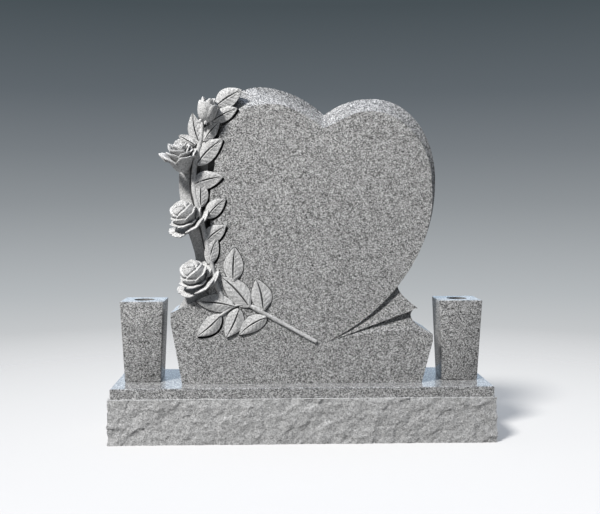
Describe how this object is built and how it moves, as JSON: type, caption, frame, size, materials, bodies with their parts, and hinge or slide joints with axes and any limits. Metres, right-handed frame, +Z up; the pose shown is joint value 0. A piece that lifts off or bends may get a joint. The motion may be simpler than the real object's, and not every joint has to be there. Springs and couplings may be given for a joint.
{
  "type": "heart-shaped headstone",
  "caption": "Upright granite headstone with a bevelled heart, carved roses and a fluted fan, on a rock-faced base with tapered flower vases.",
  "frame": {"origin": "centre of the base's underside, on the ground", "axes": "+X to the viewer's right along the base, -Y out of the carved front, +Z up"},
  "size_m": [1.069, 0.305, 0.9803],
  "materials": {
    "base_granite": "light grey granite, polished top and margin over a split rock face",
    "headstone_granite": "grey granite, polished faces with a light frosted carving",
    "vase_granite": "grey granite, polished"
  },
  "bodies": {
    "root": {"base": "base_granite", "headstone": "headstone_granite", "left_vase": "vase_granite", "right_vase": "vase_granite"}
  },
  "joints": []
}
